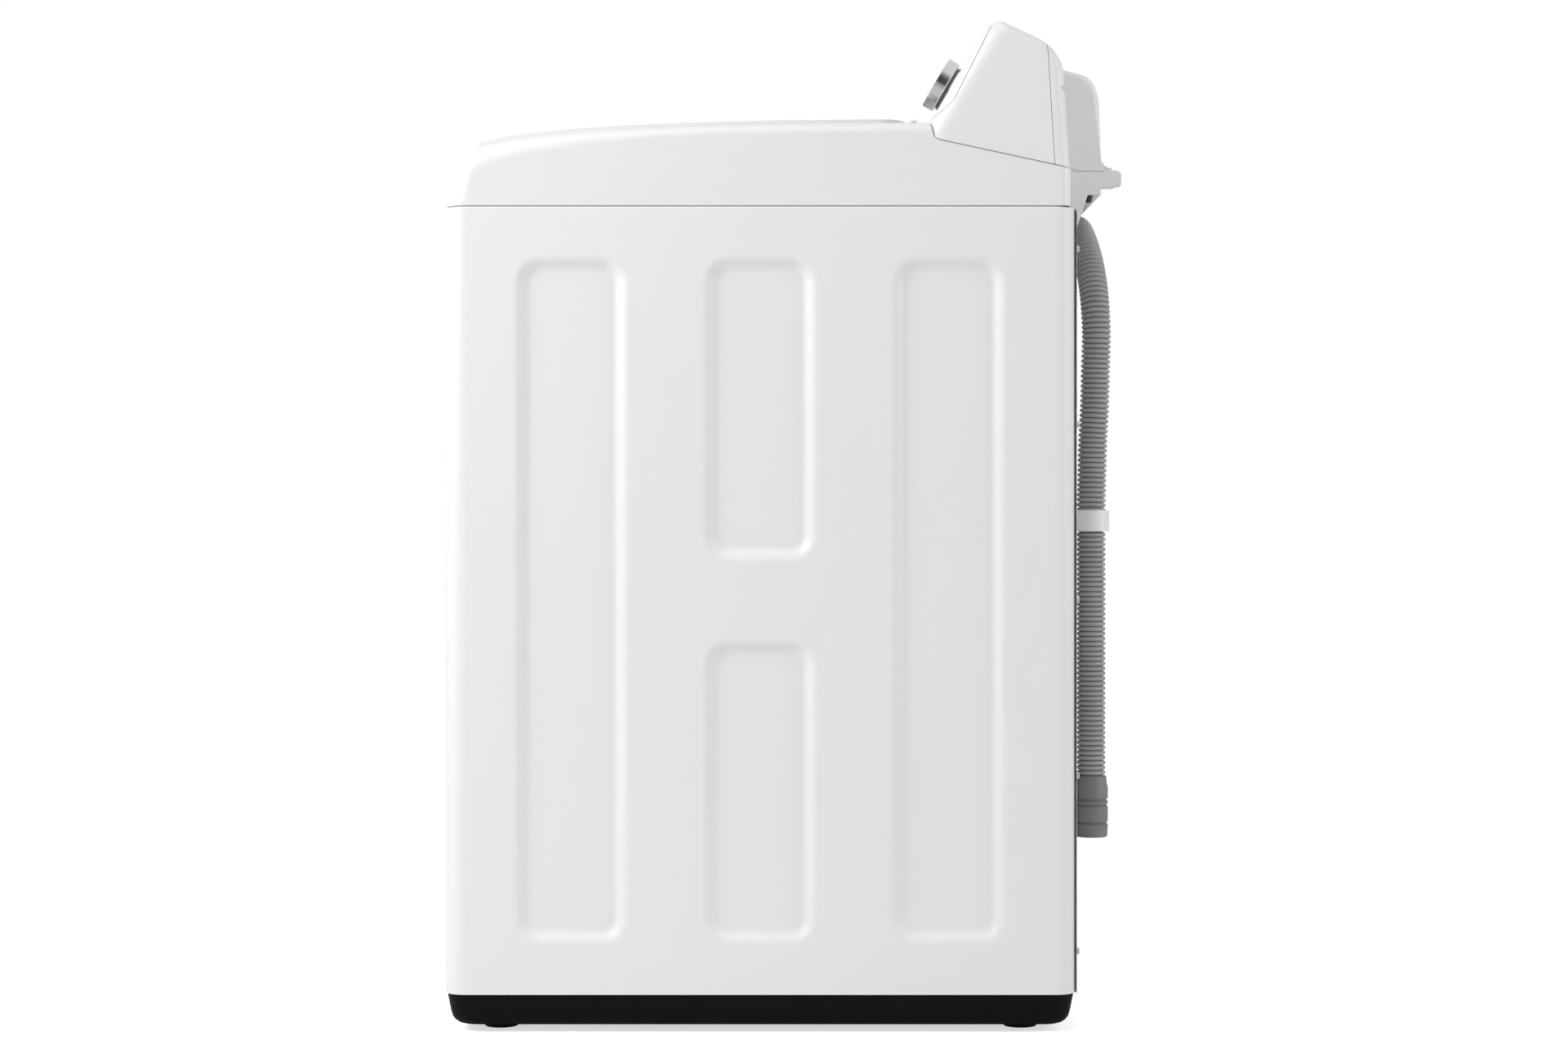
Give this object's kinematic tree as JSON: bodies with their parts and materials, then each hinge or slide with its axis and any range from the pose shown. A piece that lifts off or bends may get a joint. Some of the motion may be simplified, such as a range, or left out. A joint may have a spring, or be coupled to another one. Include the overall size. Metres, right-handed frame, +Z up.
{
  "type": "top load washing machine",
  "caption": "Top-loading washer: white cabinet with pressed sides, bowed glass lid, tilted rear console with knob, sprung tub, perforated basket and corrugated drain hose.",
  "frame": {"origin": "on the floor under the middle of the machine's box, drain hose left out", "axes": "+Z up, -Y to the front where the user stands, +X to the right seen from the front"},
  "size_m": [0.686, 0.749, 1.108],
  "materials": {
    "white_enamel": "satin baked enamel on sheet steel",
    "white_cover": "moulded, high gloss",
    "white_lid": "moulded, high gloss",
    "white_plastic": "moulded, soft gloss",
    "galvanised": "spangled zinc sheet",
    "zinc_screw": "bright zinc plating",
    "black_plastic": "fine moulded grain",
    "dark_plastic": "moulded",
    "rubber": "moulded rubber",
    "smoked_window": "polished",
    "circuit_board": "lacquered board",
    "valve_plastic": "moulded nylon",
    "grey_hose": "corrugated polypropylene",
    "spring_steel": "oiled wire",
    "tub_plastic": "moulded polypropylene",
    "cast_aluminium": "as cast",
    "winding": "enamelled copper wire",
    "stainless": "brushed stainless steel",
    "pulsator_plastic": "moulded",
    "chrome_trim": "brushed chrome plating",
    "lid_glass": "tinted safety glass",
    "drawer_plastic": "translucent blue-grey"
  },
  "bodies": {
    "cabinet": {"cabinet_wrap": "white_enamel", "rear_panel": "galvanised", "rear_panel_screws": "zinc_screw", "base_skirt": "black_plastic", "base_frame": "galvanised", "foot_pads": "rubber", "foot_studs": "zinc_screw", "top_cover": "white_cover", "console_fascia": "white_plastic", "console_shell": "white_plastic", "console_rear_cover": "white_plastic", "display_window": "smoked_window", "control_board": "circuit_board", "knob_bezel": "dark_plastic", "rear_hood": "white_plastic", "inlet_box": "white_plastic", "inlet_valve": "valve_plastic", "power_gland": "black_plastic", "hood_latch": "white_plastic", "hose_clip": "white_plastic", "drain_outlet": "dark_plastic", "drain_hose": "grey_hose", "drain_hose_cuff": "dark_plastic", "inner_drain_hose": "rubber", "drain_pump_body": "black_plastic", "sump_bellows": "rubber", "suspension_rods": "zinc_screw", "suspension_springs": "spring_steel", "lid_hinge_brackets": "dark_plastic", "lid_lock_body": "dark_plastic", "dispenser_housing": "white_plastic"},
    "tub": {"outer_tub": "tub_plastic", "tub_cover_ring": "tub_plastic", "bearing_housing": "cast_aluminium", "stator": "winding", "main_bearings": "spring_steel", "tub_seal": "rubber"},
    "basket": {"basket_shell": "stainless", "basket_base": "stainless", "balance_ring": "tub_plastic", "spin_shaft": "stainless"},
    "pulsator": {"pulsator": "pulsator_plastic", "pulsator_cap": "chrome_trim", "drive_shaft": "stainless", "rotor": "black_plastic"},
    "clutch_coupler": {"clutch_coupler": "dark_plastic"},
    "clutch_lever": {"clutch_lever": "zinc_screw"},
    "pump_impeller": {"pump_impeller": "dark_plastic"},
    "lid": {"lid_frame": "white_lid", "lid_glass": "lid_glass", "lid_hinge_pins": "zinc_screw"},
    "lid_lock_bolt": {"lid_lock_bolt": "zinc_screw"},
    "cycle_knob": {"cycle_knob": "chrome_trim"},
    "power_button": {"power_button": "white_plastic"},
    "start_button": {"start_button": "white_plastic"},
    "option_button_1": {"option_button_1": "white_plastic"},
    "option_button_2": {"option_button_2": "white_plastic"},
    "option_button_3": {"option_button_3": "white_plastic"},
    "detergent_drawer": {"detergent_drawer": "drawer_plastic"}
  },
  "joints": [
    {"name": "tub_bounce", "type": "slide", "parent": "cabinet", "child": "tub", "axis": [0, 0, 1], "range_m": [-0.025, 0], "stiffness_N_per_m": 20000, "springref_m": 0.01864, "deforming": ["suspension_springs", "sump_bellows"]},
    {"name": "basket_spin", "type": "hinge", "parent": "tub", "child": "basket", "pos_m": [0, -0.049, 0.5], "axis": [0, 0, 1], "continuous": true},
    {"name": "pulsator_spin", "type": "hinge", "parent": "tub", "child": "pulsator", "pos_m": [0, -0.049, 0.3], "axis": [0, 0, 1], "continuous": true},
    {"name": "clutch_shift", "type": "hinge", "parent": "tub", "child": "clutch_lever", "pos_m": [0.095, -0.049, 0.2135], "axis": [0, -1, 0], "range_deg": [0, 3.2], "stiffness_Nm_per_rad": 0.2, "springref_deg": -5.73},
    {"name": "coupler_slide", "type": "slide", "parent": "basket", "child": "clutch_coupler", "axis": [0, 0, -1], "range_m": [0, 0.0036], "stiffness_N_per_m": 1, "springref_m": -0.2874},
    {"name": "pump_spin", "type": "hinge", "parent": "cabinet", "child": "pump_impeller", "pos_m": [0.06, -0.219, 0.12], "axis": [0, 0, 1], "continuous": true},
    {"name": "lid_hinge", "type": "hinge", "parent": "cabinet", "child": "lid", "pos_m": [0, 0.142, 1.0023], "axis": [-1, 0, 0], "range_deg": [0, 85]},
    {"name": "lock_bolt_slide", "type": "slide", "parent": "cabinet", "child": "lid_lock_bolt", "axis": [-1, 0, 0], "range_m": [0, 0.013]},
    {"name": "knob_turn", "type": "hinge", "parent": "cabinet", "child": "cycle_knob", "pos_m": [0.213, 0.18681, 1.04764], "axis": [0, -0.8601, 0.5101], "continuous": true},
    {"name": "power_button_press", "type": "slide", "parent": "cabinet", "child": "power_button", "axis": [0, 0.8601, -0.5101], "range_m": [0, 0.0013], "stiffness_N_per_m": 900, "springref_m": -0.0006},
    {"name": "start_button_press", "type": "slide", "parent": "cabinet", "child": "start_button", "axis": [0, 0.8601, -0.5101], "range_m": [0, 0.0013], "stiffness_N_per_m": 900, "springref_m": -0.0006},
    {"name": "option_button_1_press", "type": "slide", "parent": "cabinet", "child": "option_button_1", "axis": [0, 0.8601, -0.5101], "range_m": [0, 0.0013], "stiffness_N_per_m": 900, "springref_m": -0.0006},
    {"name": "option_button_2_press", "type": "slide", "parent": "cabinet", "child": "option_button_2", "axis": [0, 0.8601, -0.5101], "range_m": [0, 0.0013], "stiffness_N_per_m": 900, "springref_m": -0.0006},
    {"name": "option_button_3_press", "type": "slide", "parent": "cabinet", "child": "option_button_3", "axis": [0, 0.8601, -0.5101], "range_m": [0, 0.0013], "stiffness_N_per_m": 900, "springref_m": -0.0006},
    {"name": "drawer_slide", "type": "slide", "parent": "cabinet", "child": "detergent_drawer", "axis": [0, 1, 0], "range_m": [0, 0.07]}
  ],
  "couplings": [
    {"joint": "coupler_slide", "follows": "clutch_shift", "m_per_rad": 0.0625}
  ]
}
